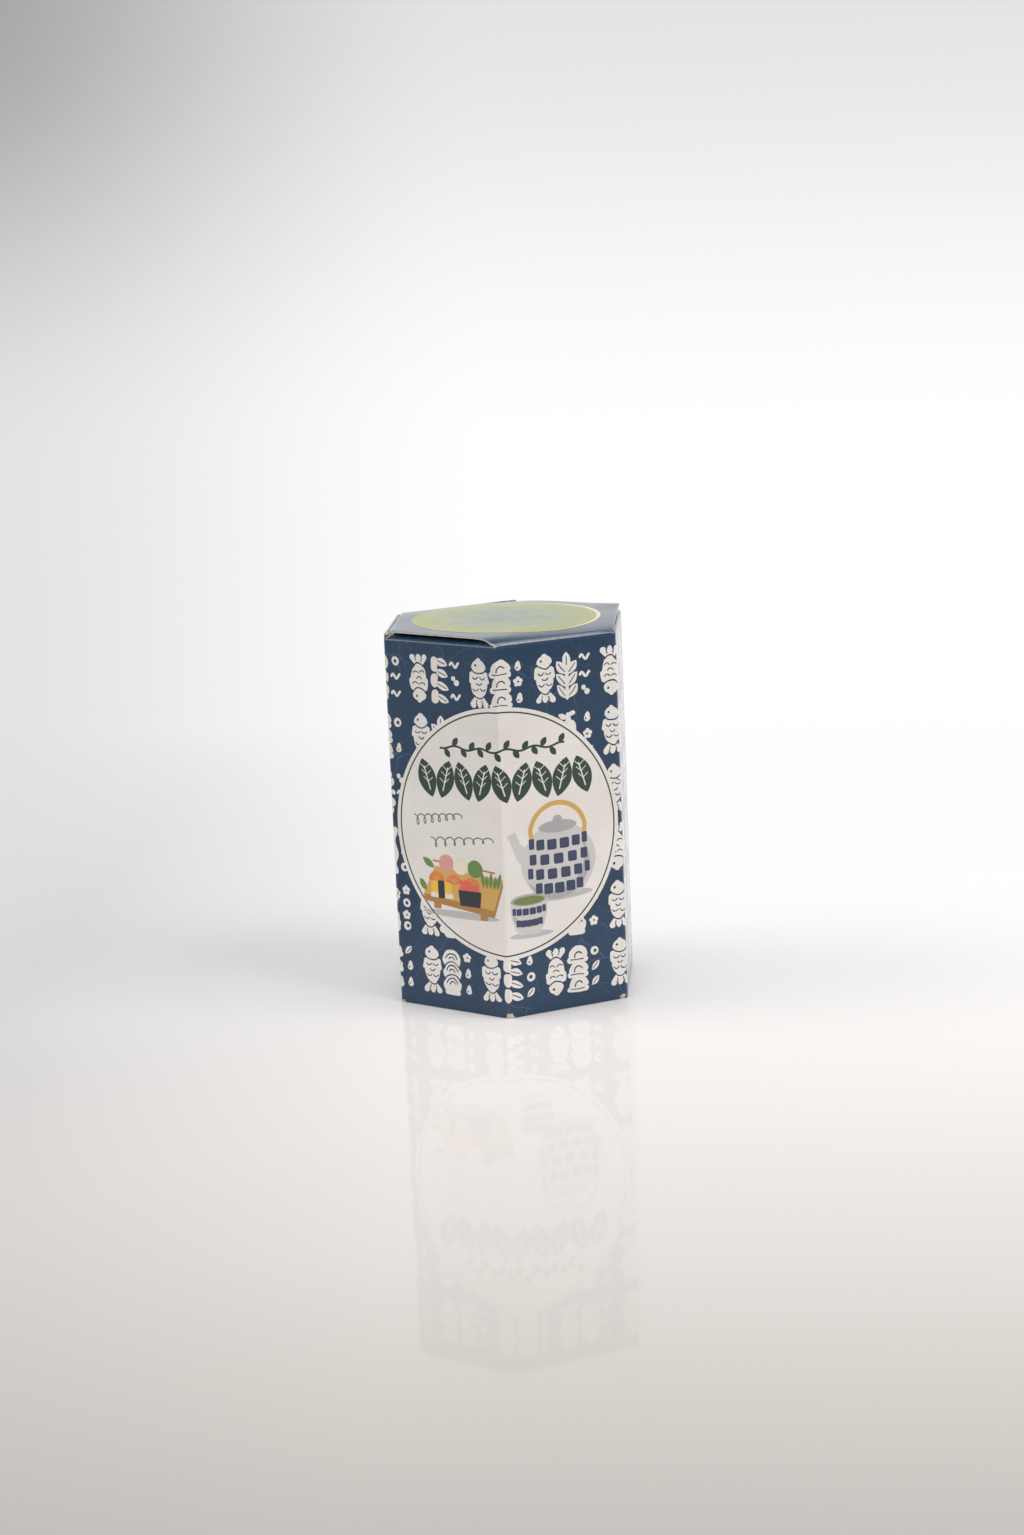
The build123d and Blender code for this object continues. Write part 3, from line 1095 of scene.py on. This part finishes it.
def bare_board():
    """The raw edge and inside of the board: warm grey fibres."""
    n = Nodes("bare_board")
    fibre = n.add("ShaderNodeTexNoise", {"Vector": n.add("ShaderNodeMapping", {"Vector": n.place, "Scale": (1, 1, 6)}).outputs[0],
                                         "Scale": 700.0, "Detail": 5.0, "Roughness": 0.7})
    colour = n.blend(n.span(fibre.outputs["Fac"], 0.35, 0.65), linear(168, 160, 150), linear(224, 218, 210))
    return n.finish(colour, n.span(fibre.outputs["Fac"], 0, 1, 0.75, 0.95), fibre.outputs["Fac"], 0.7)


def tea_surface():
    """Green tea seen from above: yellow-green at the rim, greyer and cooler in the middle."""
    n = Nodes("tea_surface")
    flat = n.add("ShaderNodeVectorMath", {0: n.place, 1: (1.0, 1.0, 0.0)}, operation="MULTIPLY")
    radius = n.add("ShaderNodeVectorMath", {0: flat.outputs[0]}, operation="LENGTH").outputs["Value"]
    waver = n.span(n.speckle(40, 2), 0.3, 0.7, -0.0015, 0.0015)
    radius = n.add("ShaderNodeMath", {0: radius, 1: waver}, operation="ADD").outputs[0]
    ramp = n.add("ShaderNodeValToRGB", {"Fac": n.span(radius, 0.0, DISC_RADIUS * MM)})
    stops = ((0.0, (118, 130, 122)), (0.45, (130, 142, 114)), (0.8, (146, 154, 88)), (1.0, (158, 158, 74)))
    while len(ramp.color_ramp.elements) < len(stops):
        ramp.color_ramp.elements.new(0.5)
    for element, (at, colour) in zip(ramp.color_ramp.elements, stops):
        element.position = at
        element.color = linear(*colour)
    tone = n.span(n.speckle(260, 3), 0.3, 0.7, 0.0, 0.12)
    colour = n.blend(tone, ramp.outputs["Color"], linear(176, 172, 120))
    return n.finish(colour, n.span(n.speckle(140, 3), 0.3, 0.7, 0.36, 0.5), n.speckle(1500, 3), 0.2, 0.55)


def floor_material():
    """Pale glossy table top with painted shade: darker towards the front and greyer on the left, lighter towards the
    back, where it melts into the white backdrop.
    """
    n = Nodes("floor")
    parts = n.add("ShaderNodeSeparateXYZ", {"Vector": n.place})
    across, depth = parts.outputs["X"], parts.outputs["Y"]
    front, back = -0.9, 0.3
    # Painted shade: the floor's colour holds the fall of the light, dark at the front and white at the back
    stops = ((-0.9, 40, 40, 40), (-0.55, 96, 94, 92), (-0.38, 190, 186, 181), (-0.3, 208, 204, 198),
             (-0.226, 224, 220, 215), (-0.12, 240, 236, 233), (-0.05, 249, 246, 244), (0.1, 253, 252, 252))
    ramp = n.add("ShaderNodeValToRGB", {"Fac": n.span(depth, front, back)})
    while len(ramp.color_ramp.elements) < len(stops):
        ramp.color_ramp.elements.new(0.5)
    for element, (at, *colour) in zip(ramp.color_ramp.elements, stops):
        element.position = (at - front) / (back - front)
        element.color = linear(*colour)
    # Painted shade: the floor greys to the left of the carton
    painted_shade_left = n.times(n.span(across, -0.01, -0.16, 0.0, 0.4), n.span(depth, -0.6, -0.1))
    colour = n.blend(painted_shade_left, ramp.outputs["Color"], linear(120, 122, 128))
    colour = n.blend(n.span(n.speckle(3, 2), 0.3, 0.7, 0.0, 0.03), colour, linear(180, 178, 176))
    n.tree.links.new(colour, n.shader.inputs["Base Color"])
    n.shader.inputs["Roughness"].default_value = 0.03
    n.shader.inputs["IOR"].default_value = 1.16
    clear = n.add("ShaderNodeBsdfTransparent")
    melt = n.add("ShaderNodeMixShader", {0: n.span(depth, 0.12, 0.42), 1: n.shader.outputs[0], 2: clear.outputs[0]})
    n.tree.links.new(melt.outputs[0], n.tree.nodes["Material Output"].inputs["Surface"])
    return n.material


DEEP_GREEN, SOFT_GREY, PALE_CLAY, CLAY_SHADE = (38, 62, 52), (190, 187, 185), (206, 203, 201), (172, 171, 173)
TAN, TAN_EDGE, INK_BLUE, TEA_GREEN = (214, 168, 92), (178, 128, 66), (52, 62, 92), (116, 130, 66)
LEAF_GREEN, WARM_GREY, ROSE, CREAM = (104, 140, 70), (104, 106, 108), (222, 156, 146), (236, 226, 206)
ORANGE, YELLOW, CORAL, DARK = (226, 122, 62), (238, 192, 66), (226, 104, 84), (40, 44, 52)

BARE_BOARD = bare_board()
NAVY_PRINT = navy_print()
TEA_SURFACE = tea_surface()
RIM_CREAM = ink("rim_cream", (222, 218, 190))
WHITE_PRINT = ink("white_print", (235, 229, 223))


# ---------------------------------------------------------------- the object
def build_print():
    for name, layers in pattern_layers().items():
        verts, faces, places = join_layers(layers)
        make_piece(name, verts, faces, WHITE_PRINT, "white_print", None, wall_uvs(places))
    medal = [arc(MEDAL_U, MEDAL_Z, MEDAL_RADIUS, 0, 360, 144)[:-1]]
    verts, faces, places = join_layers([wall_print(medal, [], 5, 3.0)])
    make_piece("panel_white", verts, faces, WHITE_PRINT, "white_print", None, wall_uvs(places))
    for name, (colour, level, shapes, holes) in picture_inks().items():
        layer = wall_print(at_medal(shapes), at_medal(holes), level, 3.0)
        verts, faces, places = join_layers([layer])
        make_piece("print_" + name, verts, faces, ink(name, colour), "colour_print", None, wall_uvs(places))


build_walls()
build_lid()
build_lid_print()
build_flap_ends()
build_base_panel()
build_print()


# ---------------------------------------------------------------- floor, lights and camera
def build_floor():
    mesh = bpy.data.meshes.new("floor")
    half = 4.0
    mesh.from_pydata([(-half, -half, 0), (half, -half, 0), (half, half, 0), (-half, half, 0)], [], [(0, 1, 2, 3)])
    mesh.materials.append(floor_material())
    floor = bpy.data.objects.new("floor", mesh)
    bpy.context.scene.collection.objects.link(floor)


def area_light(name, place, size, power, colour=(1, 1, 1)):
    data = bpy.data.lights.new(name, "AREA")
    data.shape, data.size, data.energy, data.color = "SQUARE", size, power, colour
    lamp = bpy.data.objects.new(name, data)
    lamp.location = place
    lamp.rotation_euler = (Vector((0, 0, 0.06)) - Vector(place)).to_track_quat("-Z", "Y").to_euler()
    bpy.context.scene.collection.objects.link(lamp)


def build_world():
    """White studio round the object. What the camera sees of it greys towards the top and the left."""
    world = bpy.data.worlds.new("studio")
    world.use_nodes = True
    tree = world.node_tree
    background = tree.nodes["Background"]

    def add(kind, links, **settings):
        node = tree.nodes.new(kind)
        for key, value in settings.items():
            setattr(node, key, value)
        for socket, value in links.items():
            if isinstance(value, bpy.types.NodeSocket):
                tree.links.new(value, node.inputs[socket])
            else:
                node.inputs[socket].default_value = value
        return node.outputs[0]

    def fade(value, start, end, low_out, high_out):
        return add("ShaderNodeMapRange", {"Value": value, "From Min": start, "From Max": end, "To Min": low_out,
                                          "To Max": high_out}, interpolation_type="SMOOTHSTEP")

    path = tree.nodes.new("ShaderNodeLightPath").outputs
    heading = tree.nodes.new("ShaderNodeSeparateXYZ")
    tree.links.new(tree.nodes.new("ShaderNodeTexCoord").outputs["Generated"], heading.inputs[0])
    seen = add("ShaderNodeMath", {0: path["Is Glossy Ray"], 1: path["Is Transmission Ray"]}, operation="MAXIMUM")
    lit = add("ShaderNodeMapRange", {"Value": seen, "To Min": 0.7, "To Max": 1.0})
    upper = fade(heading.outputs["Z"], -0.11, 0.06, 1.0, 0.76)
    lefter = fade(heading.outputs["X"], -0.27, -0.08, 0.76, 1.0)
    shown = add("ShaderNodeMath", {0: upper, 1: lefter}, operation="MULTIPLY")
    corner = add("ShaderNodeMath", {0: fade(heading.outputs["X"], -0.27, -0.08, 0.22, 0.0),
                                    1: fade(heading.outputs["Z"], -0.1, 0.04, 0.0, 1.0)}, operation="MULTIPLY")
    shown = add("ShaderNodeMath", {0: shown, 1: corner}, operation="SUBTRACT")
    strength = add("ShaderNodeMix", {0: path["Is Camera Ray"], 2: lit, 3: shown}, data_type="FLOAT")
    tree.links.new(strength, background.inputs["Strength"])
    background.inputs["Color"].default_value = (1, 1, 1, 1)
    bpy.context.scene.world = world


def build_camera():
    """The camera looks down a little, from just left of the front crease, and leans slightly."""
    pitch, lean, turn = (math.radians(a) for a in (12.17, -2.37, 4.88))
    distance, aside, below = 0.9204, 0.0, -0.0116
    forward = Vector((0, math.cos(pitch), -math.sin(pitch)))
    right = Vector((1, 0, 0))
    up = right.cross(forward)
    leaning_right = math.cos(lean) * right + math.sin(lean) * up
    leaning_up = -math.sin(lean) * right + math.cos(lean) * up
    middle = Vector((0, 0, WALL_TOP / 2 * MM))
    place = -forward * distance - leaning_right * aside - leaning_up * below
    around = Matrix.Rotation(turn, 3, "Z")
    axes = [around @ axis for axis in (leaning_right, leaning_up, -forward)]
    data = bpy.data.cameras.new("camera")
    data.lens, data.sensor_width = 70, 36
    camera = bpy.data.objects.new("camera", data)
    camera.matrix_world = Matrix.Translation(middle + around @ place) @ Matrix(axes).transposed().to_4x4()
    bpy.context.scene.collection.objects.link(camera)
    bpy.context.scene.camera = camera


build_floor()
build_world()
area_light("key_right", (1.1, -0.5, 1.3), 0.9, 10)
area_light("fill_left", (-1.2, -0.1, 1.0), 0.9, 5.5)
build_camera()
bpy.context.scene.view_settings.view_transform = "Standard"
